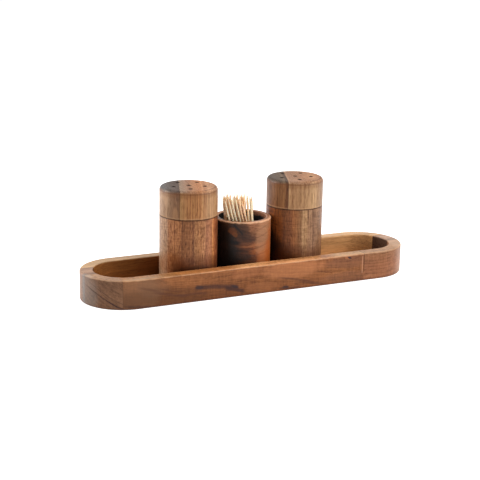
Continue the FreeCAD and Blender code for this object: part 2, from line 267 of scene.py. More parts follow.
# %% Make a wood
DARK_TINT = (0.30, 0.225, 0.165)
LIGHT_TINT = (1.70, 1.775, 1.835)
PLAIN_GRAIN = {
    "heart": (-60.0, 35.0),  # the tree's heart, mm across and through the plank
    "ring": 2.4,  # mm from ring to ring
    "sway": 3.0,  # mm that drift bends the lines
    "slope": 0.0,  # how far the grain leans as it runs
    "branch": None,  # along, across, reach and push in mm
    "bands": 0.55,
    "streaks": 0.8,
    "dashes": 0.35,
    "strokes": 0.35,
    "ripples": 0.0,
    "drift": 0.5,
    "pores": 0.5,
    "dash_spot": (9.0, 1.6, 1.6),
    "streak_spot": (46.0, 1.15, 1.15),
}
PORE_SPOT = (4.5, 0.42, 0.42)
STROKE_SPOT = (7.0, 1.1, 1.1)
RIPPLE_SPOT = (1.3, 8.0, 8.0)
DRIFT_SPOT = (70.0, 15.0, 15.0)


def push_aside(axes, branch):
    """How far a branch pushes the rings, most at its middle and fading round it."""
    at_along, at_across, reach, push = branch
    away = ((axes[0] - at_along) ** 2 + (axes[1] - at_across) ** 2) / reach ** 2
    return push / (away + 1.0)


def grain_tone(recipe, axes, numbers, seed):
    """The tone of the grain, about -1 to 1, with the pore mask and the swayed distance."""
    along, across, through = axes
    drift = noise(recipe, axes, DRIFT_SPOT, 2.0, 0.5, seed) - 0.5
    swayed = across + drift * (2 * numbers["sway"]) + along * numbers["slope"]
    heart_across, heart_through = numbers["heart"]
    from_heart = ((swayed - heart_across) ** 2 + (through - heart_through) ** 2) ** 0.5
    if numbers["branch"]:
        from_heart = from_heart + push_aside(axes, numbers["branch"])
    bands = noise_line(recipe, from_heart / numbers["ring"] + seed, 3.0) - 0.5
    bent = (along, swayed, through)
    streaks = noise(recipe, bent, numbers["streak_spot"], 3.0, 0.65, seed + 3) - 0.5
    dashes = noise(recipe, bent, numbers["dash_spot"], 2.0, 0.6, seed + 7) - 0.5
    pores = recipe.step(noise(recipe, bent, PORE_SPOT, 1.0, 0.5, seed + 11), 0.60, 0.72)
    strokes = recipe.step(noise(recipe, bent, STROKE_SPOT, 1.0, 0.5, seed + 13), 0.56, 0.72)
    tone = bands * (3.4 * numbers["bands"]) + streaks * (3.4 * numbers["streaks"])
    tone = tone + dashes * (3.6 * numbers["dashes"]) + drift * (2.0 * numbers["drift"])
    if numbers["ripples"]:
        ripples = noise(recipe, axes, RIPPLE_SPOT, 2.0, 0.5, seed + 19) - 0.5
        tone = tone + ripples * (3.0 * numbers["ripples"])
    return tone - pores * numbers["pores"] - strokes * numbers["strokes"], pores, swayed


def zone_ramp(recipe, distance, zones):
    """Broad stripes of colour across a plank: pairs of a distance in mm and a stain."""
    low, high = zones[0][0], zones[-1][0]
    stops = [((at - low) / (high - low), colour) for at, colour in zones]
    share = (distance - low) / (high - low)
    return recipe.node("ShaderNodeValToRGB", {"stops": stops}, {0: share})


def wood(name, centre, grain, across, zones, seed, numbers=None, extras=(), dull=None):
    """A finished wood. Extras paint marks, seams and wear over it, and also painted light and
    shade, and dull is a mask of where the finish has no sheen."""
    material = bpy.data.materials.new(name)
    material.use_nodes = True
    recipe = Recipe(material.node_tree)
    place = in_mm(recipe, centre)
    axes = plank_axes(recipe, place, grain, across)
    tone, pores, swayed = grain_tone(recipe, axes, {**PLAIN_GRAIN, **(numbers or {})}, seed)
    shade = recipe.blend(tone * 0.5 + 0.5, DARK_TINT, LIGHT_TINT)
    colour = recipe.tint(zone_ramp(recipe, swayed, zones), shade)
    for extra in extras:
        colour = extra(recipe, place, colour)
    fine = noise(recipe, axes, (3.0, 0.3, 0.3), 2.0, 0.6, seed + 17)
    height = tone * 0.3 + fine * 0.5 - pores
    bump_inputs = {"Strength": 0.35, "Distance": 0.00012, "Height": height}
    bump = recipe.node("ShaderNodeBump", inputs=bump_inputs)
    roughness = 0.38 + (fine - 0.5) * 0.12 + pores * 0.2
    if dull:
        roughness = roughness + dull(recipe, place) * 0.6
    finish = {
        "Base Color": colour,
        "Roughness": roughness,
        "Normal": bump,
        "IOR": 1.46,
        "Specular IOR Level": 0.2,
    }
    skin = recipe.node("ShaderNodeBsdfPrincipled", inputs=finish)
    recipe.node("ShaderNodeOutputMaterial", inputs={"Surface": skin})
    print(name, "has", len(recipe.tree.nodes), "nodes")
    return material


# %% [markdown]
# ## Marks, seams, worn edges and painted light
# A plain recipe looks too new. The real set has knots and dark flecks, thin glue lines where
# planks meet, and edges that hands and cloths have rubbed pale. Some masks paint light and
# shade into the colour instead: painted shadows in gaps, painted shade in recesses and at the
# feet, painted highlights on rounded edges, and a painted grey sheen. Each of these is a mask: a
# number that is 1 on the mark and 0 elsewhere, and a blend towards the mark's colour. Knots
# and wisps are drawn on one face of a piece: a level distance, a height, and a depth past
# which they stop, as a real one does inside the wood.

# %% Masks for details
POT_FACE = (ACROSS_VIEW, 0.0)
TRAY_FACE = (ALONG_TRAY, -30.0)


def ragged(recipe, place, size, seed):
    """A small uneven number, for edges that shouldn't look drawn with a compass."""
    return noise_at(recipe, place, (size, size, size), 2.0, 0.6, seed) - 0.5


def on_face(recipe, place, face):
    """The level distance and the height on a face, and a mask of 1 near that face."""
    level, limit = face
    depth = distance_along(recipe, place, UP.cross(level))
    near = recipe.once((tuple(level), limit), lambda: recipe.step(depth, limit, limit - 3.0))
    return distance_along(recipe, place, level), distance_along(recipe, place, UP), near


def knot(face, at, half_sizes, colour, strength=1.0, turn=0.0, uneven=0.8, seed=0.0):
    """A knot, fleck or cloud: an ellipse on a face with a ragged edge, turned by degrees."""
    lean = math.radians(turn)

    def paint(recipe, place, below):
        across, up, near = on_face(recipe, place, face)
        across, up = across - at[0], up - at[1]
        longways = across * math.cos(lean) + up * math.sin(lean)
        sideways = up * math.cos(lean) - across * math.sin(lean)
        squares = (longways / half_sizes[0]) ** 2 + (sideways / half_sizes[1]) ** 2
        rough = ragged(recipe, place, min(half_sizes) * 0.9, seed)
        mask = recipe.step(squares + rough * (2 * uneven), 1.25, 0.35)
        return recipe.blend(mask * near * strength, below, colour)

    return paint


def wisp(face, points, half_width, colour, strength=0.7, taper=3.0, seed=0.0, uneven=1.6):
    """A soft curved streak through three points, which thins out at both ends."""
    (x0, z0), (x1, z1), (x2, z2) = points
    slope = (z1 - z0) / (x1 - x0)
    curl = ((z2 - z0) / (x2 - x0) - slope) / (x2 - x1)

    def paint(recipe, place, below):
        across, up, near = on_face(recipe, place, face)
        run = across - x0
        curve = run * slope + run * (across - x1) * curl + z0
        rough = ragged(recipe, place, 2.2 * half_width, seed)
        away = abs(up - curve) + rough * (uneven * half_width)
        body = recipe.step(away, half_width, 0.2 * half_width)
        ends = recipe.step(across, x0 - taper, x0 + taper) * recipe.step(across, x2 + taper, x2 - taper)
        return recipe.blend(body * ends * near * strength, below, colour)

    return paint


def seam(direction, at, colour, half_width=0.16, strength=0.8, heights=(-1.0, 200.0)):
    """A thin line: the slice where a distance along direction equals at, between heights."""

    def paint(recipe, place, below):
        away = abs(distance_along(recipe, place, direction) - at)
        up = distance_along(recipe, place, UP)
        level = recipe.step(up, heights[0] - 1.5, heights[0]) * recipe.step(up, heights[1] + 1.5, heights[1])
        line = recipe.step(away, 2.2 * half_width, half_width)
        return recipe.blend(line * level * strength, below, colour)

    return paint


def distance_out(recipe, place):
    """How far a point is from a turned piece's axis."""
    x = distance_along(recipe, place, ALONG_TRAY)
    y = distance_along(recipe, place, TO_BACK)
    return recipe.once("out", lambda: (x ** 2 + y ** 2) ** 0.5)


def wear_and_light_ring(radius, height, reach, colour, strength, beyond=-99.0):
    """A ring round a pot, or only its part beyond a level distance. It paints rubbed edges,
    and also painted shadow, shade, highlights and reflections along edges.
    """

    def paint(recipe, place, below):
        out = distance_out(recipe, place) - radius
        up = distance_along(recipe, place, UP) - height
        away = (out ** 2 + up ** 2) ** 0.5 + ragged(recipe, place, 3.0, 5.0) * reach
        side = recipe.step(distance_along(recipe, place, ACROSS_VIEW), beyond, beyond + 4.0)
        return recipe.blend(recipe.step(away, reach, 0.2 * reach) * side * strength, below, colour)

    return paint


def inside_pot(radius):
    """A mask of 1 on the wall and the floor inside a pot."""
    return lambda recipe, place: recipe.step(distance_out(recipe, place), radius + 0.5, radius + 0.1)


def painted_shade_inside(radius, colour, strength):
    """The wall and floor inside a pot, painted darker as painted shade."""

    def paint(recipe, place, below):
        return recipe.blend(inside_pot(radius)(recipe, place) * strength, below, colour)

    return paint


def end_grain_and_sheen(height, depth, tints):
    """Sawn ends soak up more oil, and the tints also paint a grey sheen on the top: two tints,
    beside the glue line and 20 mm from it.
    """

    def paint(recipe, place, below):
        up = distance_along(recipe, place, UP) + ragged(recipe, place, 4.0, 8.0) * 1.6
        from_line = abs(distance_along(recipe, place, GLUE_NORMAL) - CAP_GLUE_LINE)
        tint = recipe.blend(recipe.step(from_line, 1.0, 20.0), *tints)
        dots = noise_at(recipe, place, (0.9, 0.9, 9.0), 2.0, 0.6, 2.0)
        soaked_and_sheen = recipe.tint(recipe.tint(below, tint), recipe.blend(dots, (0.7, 0.68, 0.66), (1.3, 1.32, 1.34)))
        return recipe.blend(recipe.step(up, height - depth, height), below, soaked_and_sheen)

    return paint


print("masks ready: marks, seams and worn edges")

# %% [markdown]
# ## The shakers' bodies
# Each body was turned from one block with the grain upright, so the zones are upright
# stripes. The planks of the tree lay side by side as the camera sees them, so the zones are
# measured across the view. The first body is redder and curlier, with pale sapwood at its
# left. The second is browner, with one pale streak to the right of its middle. Both are
# painted darker towards the foot, as painted shade down by the tray, and the second is
# painted nearly black at its left, as painted shade from the cup. A thin painted shadow runs
# round each body where its cap sits, and the bore is painted darker inside as shade.

# %% Body woods
def centre_of(node):
    low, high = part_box(node)
    return (low + high) / 2


def axis_of(node):
    """The middle of a turned piece, at the level that its lowest point stands on."""
    middle = centre_of(node)
    return Vector((middle.x, middle.y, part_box(node)[0].z))


salt_axis = axis_of("salt_shaker_body")
pepper_axis = axis_of("pepper_shaker_body")
print("shaker axes in mm:", [round(MM * a.x, 2) for a in (salt_axis, pepper_axis)])
# Painted shade for the pots' feet, and a painted shadow for the gap under each cap.
PAINTED_FOOT_SHADE = stain(58, 30, 16)
SEAM_PAINTED_SHADOW = stain(56, 34, 24)

salt_body_wood = wood(
    "salt_body_wood",
    salt_axis,
    UP,
    ACROSS_VIEW,
    [
        (-25, stain(162, 124, 94)),
        (-17.4, stain(170, 130, 99)),
        (-15.8, stain(172, 114, 74)),
        (-5, stain(172, 112, 70)),
        (-3.8, stain(106, 64, 38)),
        (-2.6, stain(137, 87, 53)),
        (4.4, stain(137, 88, 55)),
        (5.4, stain(114, 70, 46)),
        (6.6, stain(166, 114, 74)),
        (11.5, stain(156, 104, 66)),
        (14.5, stain(174, 120, 81)),
        (16.2, stain(140, 88, 60)),
        (17.2, stain(158, 104, 72)),
        (20.6, stain(156, 100, 66)),
        # Painted bounce light from the cup: the orange stripe next to the right edge.
        (21.6, stain(182, 118, 68)),
        (22.6, stain(140, 80, 46)),
        (25, stain(104, 58, 34)),
    ],
    seed=1.7,
    numbers={
        "heart": (-75.0, 18.0),
        "ring": 1.5,
        "bands": 0.4,
        "dashes": 0.8,
        "dash_spot": (3.4, 0.9, 0.9),
        "streaks": 0.6,
        "streak_spot": (14.0, 0.8, 0.8),
        "strokes": 0.4,
        "ripples": 0.4,
        "sway": 1.4,
    },
    extras=[
        # Painted shade: the dark clouds here darken the body towards its foot.
        knot(POT_FACE, (-8, 22), (6, 10), PAINTED_FOOT_SHADE, 0.4, 8, 0.7, 1.0),
        knot(POT_FACE, (-12, 20), (13, 12), stain(158, 84, 30), 0.38, 0, 0.4, 11.0),
        knot(POT_FACE, (8, 12.5), (26, 18), stain(82, 38, 12), 0.68, 4, 0.3, 10.0),
        knot(POT_FACE, (6, 14.5), (19, 6.5), PAINTED_FOOT_SHADE, 0.8, 5, 0.6, 2.0),
        # Painted shadow in the gap where the cap sits.
        wear_and_light_ring(25.0, 60.0, 0.9, SEAM_PAINTED_SHADOW, 0.6),
        # Painted shade inside the bore.
        painted_shade_inside(20.0, stain(112, 72, 48), 0.5),
    ],
)
pepper_body_wood = wood(
    "pepper_body_wood",
    pepper_axis,
    UP,
    ACROSS_VIEW,
    [
        (-25, stain(124, 66, 27)),
        (-15, stain(124, 70, 33)),
        (-8, stain(118, 70, 38)),
        (-4, stain(138, 84, 50)),
        (-1, stain(148, 92, 53)),
        (3, stain(136, 89, 54)),
        (6.2, stain(122, 84, 54)),
        (7.8, stain(160, 120, 84)),
        (10, stain(162, 122, 84)),
        (11.2, stain(146, 106, 74)),
        (14, stain(158, 117, 86)),
        (16.5, stain(132, 94, 68)),
        (19, stain(138, 100, 72)),
        (23, stain(138, 98, 68)),
        (25, stain(118, 72, 44)),
    ],
    seed=5.3,
    numbers={
        "heart": (-90.0, -24.0),
        "ring": 1.7,
        "bands": 0.4,
        "dashes": 0.55,
        "dash_spot": (4.0, 0.9, 0.9),
        "streaks": 0.6,
        "streak_spot": (22.0, 0.8, 0.8),
        "sway": 1.8,
        "ripples": 0.5,
        "strokes": 0.35,
    },
    extras=[
        # Painted shade: the lower left, the cup's shadow nearly black at the left, and the foot.
        knot(POT_FACE, (-14, 19), (20, 14), PAINTED_FOOT_SHADE, 0.6, -24, 0.6, 4.0),
        knot(POT_FACE, (-24, 24), (14, 24), stain(24, 15, 12), 0.9, 12, 0.4, 6.0),
        knot(POT_FACE, (6, 13), (26, 16), stain(84, 40, 12), 0.55, -6, 0.4, 5.0),
        seam(ACROSS_VIEW, 11.6, stain(84, 54, 36), 0.35, 0.7, (52.0, 70.0)),
        # Painted shadow in the gap where the cap sits.
        wear_and_light_ring(25.0, 60.0, 0.9, SEAM_PAINTED_SHADOW, 0.5),
        # Painted shade inside the bore.
        painted_shade_inside(20.0, stain(104, 66, 44), 0.5),
    ],
)

# %% [markdown]
# ## The caps
# Each cap's blank was glued up from two planks, a dark narrow one and a pale wide one, and
# the glue line runs down the side and straight across the top. Both planks stand with the
# grain upright, so the top is end grain: it drank more oil, the dark plank's most of all, and
# its tints also paint a grey sheen, while the top itself is kept matt. Zones are measured
# square to the glue line. Six vents are drilled through, and each is painted dark to a little
# past its edge, as painted shade of the hole. A darker band and a thin dark line under the
# rounded edge are painted shade, a dark arc at the right of the top's front edge is a painted
# reflection, and a painted shadow runs round the cap's foot where it meets the body.

# %% Cap woods
CAP_GLUE_LINE = -8.5
CAP_TOP = 85.0
VENT_RING_RADIUS = 14.0
VENT_STEP = math.radians(72)
glue_line = seam(GLUE_NORMAL, CAP_GLUE_LINE, stain(62, 38, 24), 0.16, 0.6)


def vents(first_angle, reach):
    """A mask of the vents: the circle's angle is folded, so one ring vent stands for all."""

    def mask(recipe, place):
        x = distance_along(recipe, place, ALONG_TRAY)
        y = distance_along(recipe, place, TO_BACK)
        out = distance_out(recipe, place)
        angle = recipe.node("ShaderNodeMath", {"operation": "ARCTAN2"}, {0: y, 1: x}) - math.radians(first_angle)
        wrap = {0: angle, 1: VENT_STEP / 2, 2: -VENT_STEP / 2}
        turn = recipe.node("ShaderNodeMath", {"operation": "WRAP"}, wrap)
        cosine = recipe.node("ShaderNodeMath", {"operation": "COSINE"}, {0: turn})
        squares = out ** 2 - out * cosine * (2 * VENT_RING_RADIUS) + VENT_RING_RADIUS ** 2
        from_ring_vent = (squares | 0.0) ** 0.5
        nearest = recipe.node("ShaderNodeMath", {"operation": "MINIMUM"}, {0: from_ring_vent, 1: out})
        return recipe.step(nearest, reach, 0.8 * reach)

    return mask


def matt_top(mask):
    """End grain has little sheen, and a drilled hole has none."""

    def dull(recipe, place):
        up = distance_along(recipe, place, UP)
        return mask(recipe, place) | (recipe.step(up, CAP_TOP - 1.2, CAP_TOP - 0.4) * 0.45)

    return dull


# Paints a mask in one colour; below it paints the vent holes dark, as painted shade of the holes.
def painted_shade_mark(mask, colour, strength):
    return lambda recipe, place, below: recipe.blend(mask(recipe, place) * strength, below, colour)


def cap_woods(name, axis, vent_angle, planks, seed, marks=()):
    """The two planks of one cap: each has its side, its zones and the tints of its top, which
    darken its end grain and paint its grey sheen.
    """
    numbers = {"ring": 1.3, "sway": 0.8, "streaks": 0.7, "bands": 0.42, "dashes": 0.3, "streak_spot": (34.0, 0.8, 0.8)}
    woods = []
    holes = vents(vent_angle, 2.1)
    for plank, heart, depth, zones, top_tints_with_sheen in planks:
        extras = [
            *marks,
            # Painted shade: a darker band and a thin dark line just under the rounded edge.
            wear_and_light_ring(24.9, CAP_TOP - 3.6, 4.0, stain(116, 70, 40), 0.35),
            wear_and_light_ring(24.8, CAP_TOP - 2.7, 1.0, stain(104, 62, 38), 0.5),
            # Darker end grain on the top, with a painted grey sheen in its tints.
            end_grain_and_sheen(CAP_TOP - 0.3, depth, top_tints_with_sheen),
            # A painted reflection: a dark arc at the right of the top's front edge.
            wear_and_light_ring(22.7, CAP_TOP - 0.4, 0.8, stain(84, 66, 56), 0.6, 11.0),
            wear_and_light_ring(25.0, 61.2, 1.0, stain(194, 148, 108), 0.35),
            # Painted shadow in the gap where the cap sits on the body.
            wear_and_light_ring(25.0, 60.2, 0.7, SEAM_PAINTED_SHADOW, 0.85),
            glue_line,
            # Painted shade in and round the vent holes.
            painted_shade_mark(holes, stain(30, 18, 14), 1.0),
        ]
        seed += 2.1
        look = {**numbers, "heart": heart}
        finish_of = matt_top(holes)
        woods.append(wood(f"{name}_cap_{plank}_wood", axis, UP, GLUE_NORMAL, zones, seed, look, extras, finish_of))
    return woods


NARROW_HEART, WIDE_HEART = (-70.0, -28.0), (95.0, 30.0)
salt_narrow_zones = [
    (-25, stain(172, 136, 106)),
    (-20, stain(170, 132, 100)),
    (-18, stain(150, 114, 84)),
    (-12.5, stain(136, 98, 70)),
    (-10.2, stain(138, 100, 72)),
    (-9.2, stain(120, 84, 58)),
    (-8.5, stain(126, 89, 62)),
]
salt_wide_zones = [
    (-8.5, stain(176, 130, 84)),
    (-3, stain(170, 118, 74)),
    (0, stain(156, 104, 63)),
    (3, stain(168, 115, 70)),
    (9, stain(162, 109, 67)),
    (11, stain(178, 128, 84)),
    (13, stain(154, 108, 72)),
    (16, stain(172, 130, 92)),
    (25, stain(156, 116, 82)),
]
salt_cap_woods = cap_woods(
    "salt",
    salt_axis,
    37.0,
    [
        # The top tints darken the end grain and paint a grey sheen.
        ("narrow", NARROW_HEART, 3.2, salt_narrow_zones, ((0.40, 0.53, 0.82), (0.27, 0.44, 0.74))),
        ("wide", WIDE_HEART, 2.6, salt_wide_zones, ((0.71, 0.95, 1.65), (1.11, 1.08, 1.22))),
    ],
    seed=11.0,
    marks=[
        knot(POT_FACE, (-9.9, 62), (3.0, 10), stain(186, 136, 94), 0.4, 0, 0.4, 1.0),
        knot(POT_FACE, (-18, 77), (3.0, 8), stain(200, 160, 124), 0.35, 0, 0.4, 2.0),
        knot(POT_FACE, (-8.7, 80), (0.5, 5), stain(58, 36, 24), 0.7, 0, 0.8, 3.0),
    ],
)
pepper_narrow_zones = [
    (-25, stain(122, 80, 52)),
    (-20, stain(134, 90, 58)),
    (-14, stain(128, 86, 53)),
    (-11.5, stain(150, 102, 62)),
    (-10, stain(110, 68, 40)),
    (-8.5, stain(112, 72, 44)),
]
pepper_wide_zones = [
    (-8.5, stain(196, 152, 108)),
    (-6.5, stain(176, 130, 90)),
    (2, stain(166, 124, 86)),
    (10, stain(170, 130, 92)),
    (14, stain(176, 138, 98)),
    (20, stain(164, 126, 92)),
    (25, stain(144, 108, 80)),
]
pepper_cap_woods = cap_woods(
    "pepper",
    pepper_axis,
    42.5,
    [
        # The top tints darken the end grain and paint a grey sheen.
        ("narrow", NARROW_HEART, 3.2, pepper_narrow_zones, ((0.49, 0.73, 1.25), (0.34, 0.60, 1.12))),
        ("wide", WIDE_HEART, 2.6, pepper_wide_zones, ((0.78, 0.81, 1.04), (0.94, 0.83, 0.87))),
    ],
    seed=23.0,
)

# %% [markdown]
# ## The cup
# The cup was turned from a darker, wilder block. Its grain lies level, so the stripes run
# round it, and they sweep round an old branch on the side that faces the camera. The branch
# pushes the rings aside, and the bark pocket beside it is painted as a small orange patch
# between dark curved wisps. Painted shade makes the dark wood almost black at its left,
# beside the salt shaker, and darker at its foot and inside. Painted light makes its right
# edge, beside the pepper shaker, glow orange, and a strip of painted light lies on the inner
# wall at the right. The rim's two edges are rubbed pale and also carry painted highlights.

# %% Cup wood
cup_axis = axis_of("toothpick_cup")
# Painted shade on the dark wood, for the cup's left side and its foot.
CUP_DARK_AND_SHADE = stain(18, 15, 14)
cup_wood = wood(
    "cup_wood",
    cup_axis,
    ACROSS_VIEW,
    UP,
    [
        (0, stain(112, 56, 20)),
        (14, stain(114, 58, 22)),
        (26, stain(134, 73, 34)),
        (33, stain(140, 83, 51)),
        (36, stain(106, 66, 44)),
        (44, stain(126, 80, 52)),
        (54, stain(150, 98, 68)),
    ],
    seed=31.4,
    numbers={
        "heart": (80.0, 10.0),
        "ring": 1.9,
        "sway": 3.0,
        "bands": 0.55,
        "dashes": 0.3,
        "dash_spot": (5.0, 1.0, 1.0),
        "streaks": 0.5,
        "streak_spot": (24.0, 0.9, 0.9),
        "branch": (-6.0, 44.0, 6.0, 9.0),
    },
    extras=[
        knot(POT_FACE, (-4, 38), (12, 24), stain(38, 22, 16), 0.45, 6, 0.5, 16.0),
        knot(POT_FACE, (19.5, 38), (8, 28), stain(188, 134, 94), 0.38, 0, 0.3, 12.0),
        knot(POT_FACE, (4, 41.5), (9, 5.0), stain(46, 29, 24), 0.6, -22, 0.7, 2.0),
        knot(POT_FACE, (-2, 50), (10, 5.5), stain(36, 24, 19), 0.62, -20, 0.4, 13.0),
        # Painted shade at the foot.
        knot(POT_FACE, (-4, 25), (15, 7), CUP_DARK_AND_SHADE, 0.6, 0, 0.4, 14.0),
        wisp(POT_FACE, [(-8, 33), (8, 32.5), (23, 36)], 1.1, stain(170, 106, 66), 0.4, 5.0, 7.0, 0.9),
        wisp(POT_FACE, [(-4, 30.6), (8, 30.2), (23, 33.2)], 1.2, stain(74, 40, 24), 0.4, 5.0, 8.0, 1.0),
        wisp(POT_FACE, [(2, 38.5), (12, 39.6), (24, 43.5)], 0.9, stain(76, 42, 28), 0.35, 4.0, 17.0, 1.0),
        wisp(POT_FACE, [(6, 44), (14, 46.5), (24, 50)], 0.8, stain(70, 42, 30), 0.3, 4.0, 18.0, 1.0),
        wisp(POT_FACE, [(2, 25.5), (12, 24.6), (24, 26.5)], 1.0, stain(60, 30, 18), 0.35, 4.0, 19.0, 1.0),
        # Painted shade: almost black at the left beside the salt shaker, on dark wood, and darker at the foot.
        knot(POT_FACE, (-27, 20), (27, 46), CUP_DARK_AND_SHADE, 0.95, -10, 0.3, 1.0),
        knot(POT_FACE, (-6, 15), (26, 9), CUP_DARK_AND_SHADE, 0.75, 14, 0.3, 10.0),
        knot(POT_FACE, (-8.2, 46.0), (4.0, 3.2), stain(116, 65, 34), 0.65, 10, 0.6, 3.0),
        knot(POT_FACE, (-6, 42.8), (2.8, 2.2), stain(127, 72, 34), 0.65, -30, 0.5, 4.0),
        knot(POT_FACE, (-2, 38.2), (3.0, 1.6), stain(92, 54, 40), 0.3, -10, 0.5, 15.0),
        wisp(POT_FACE, [(-8, 52.5), (-3, 47.5), (1, 43)], 1.8, stain(26, 19, 18), 0.85, 1.0, 5.0, 0.8),
        wisp(POT_FACE, [(-11, 37), (-7, 35.8), (-2, 35.4)], 2.4, stain(14, 10, 12), 0.85, 2.0, 6.0, 0.8),
        knot(POT_FACE, (20.5, 15), (8, 14), stain(178, 98, 46), 0.4, 0, 0.5, 20.0),
        # Painted light: the right edge, beside the pepper shaker, glows orange.
        knot(POT_FACE, (28, 26), (8.5, 34), stain(166, 80, 26), 0.66, -4, 0.5, 9.0),
        # The rim's outer and inner edges, rubbed pale and with painted highlights.
        wear_and_light_ring(25.0, 54.0, 1.9, stain(238, 184, 144), 0.85),
        wear_and_light_ring(20.5, 54.0, 1.6, stain(206, 154, 116), 0.6),
        # Painted shade inside the cup.
        painted_shade_inside(20.5, stain(16, 11, 9), 1.0),
        # Painted light on the inner wall at the right, just under the rim.
        wear_and_light_ring(20.5, 52.6, 3.2, stain(146, 98, 72), 0.7, 8.0),
    ],
    dull=inside_pot(20.5),
)

# %% [markdown]
# ## The tray
# The tray was carved from a panel of glued boards with the grain running its whole length.
# The back board is pale sapwood, the middle one dark, and the front one a warm red-brown
# with a shorter, greyer board at its left end and a paler one at its right end. A few dark
# flecks sit in the front face. The rim's flat is painted lighter, as painted light from above
# with a painted grey sheen, and painted highlights run along its rounded edges. The recess
# is painted darker as shade, and the rounded ends carry a painted grey reflection.

# %% Tray woods
tray_low, tray_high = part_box("tray_back_board")
TRAY_HEIGHT = MM * tray_high.z
FRONT_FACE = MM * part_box("tray_front_board")[0].y
END_CENTRE = 116.5
RIM_RADII = (36.5, 25.3)
ORIGIN = Vector((0, 0, 0))
left_butt, right_butt = (MM * corner.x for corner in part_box("tray_front_board"))
front_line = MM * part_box("tray_middle_board")[0].y
back_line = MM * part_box("tray_middle_board")[1].y
print("tray joints in mm:", [round(v, 1) for v in (left_butt, right_butt, front_line, back_line)])


def tray_out(recipe, place):
    """How far out a point is from the tray's spine, a line with a round end."""
    x = abs(distance_along(recipe, place, ALONG_TRAY)) - END_CENTRE
    y = distance_along(recipe, place, TO_BACK)
    return recipe.once("tray_out", lambda: ((x | 0.0) ** 2 + y ** 2) ** 0.5)


def rim_edge_highlights(colour, strength, radii=RIM_RADII, reach=1.3):
    """Painted highlights along the rounded edges of the rim, which follows the tray's straight
    sides and round ends.
    """

    def paint(recipe, place, below):
        out = tray_out(recipe, place)
        up = distance_along(recipe, place, UP) - TRAY_HEIGHT
        uneven = ragged(recipe, place, 5.0, 9.0) * reach
        mask = 0.0
        for radius in radii:
            away = ((out - radius) ** 2 + up ** 2) ** 0.5 + uneven
            mask = recipe.step(away, reach, 0.2 * reach) | mask
        return recipe.blend(mask * strength, below, colour)

    return paint


def rim_top_light_and_sheen(colour, start=-200.0, end=200.0):
    """The flat of the rim, painted lighter than the faces below it between two places: painted
    light from above, and a painted grey sheen where the tint is bluer.
    """

    def paint(recipe, place, below):
        up = distance_along(recipe, place, UP)
        x = distance_along(recipe, place, ALONG_TRAY)
        mask = recipe.step(up, TRAY_HEIGHT - 0.7, TRAY_HEIGHT - 0.1)
        mask = mask * recipe.step(x, start - 8.0, start + 8.0) * recipe.step(x, end + 8.0, end - 8.0)
        return recipe.blend(mask, below, recipe.tint(below, colour))

    return paint


def recess_shade(left_tint, right_tint):
    """The recess painted darker as painted shade, by a tint that changes from left to right."""

    def paint(recipe, place, below):
        inside = recipe.step(tray_out(recipe, place), RIM_RADII[1] + 1.4, RIM_RADII[1] + 0.7)
        lower = recipe.step(distance_along(recipe, place, UP), TRAY_HEIGHT - 0.1, TRAY_HEIGHT - 0.9)
        shade_tint = recipe.blend(recipe.step(distance_along(recipe, place, ALONG_TRAY), -50.0, 60.0), left_tint, right_tint)
        return recipe.blend(inside * lower, below, recipe.tint(below, shade_tint))

    return paint


def dark_foot(strength):
    """A darker line along the lowest edge."""

    def paint(recipe, place, below):
        up = distance_along(recipe, place, UP) + ragged(recipe, place, 4.0, 6.0) * 1.2
        return recipe.blend(recipe.step(up, 2.0, 0.4) * strength, below, stain(84, 42, 22))

    return paint


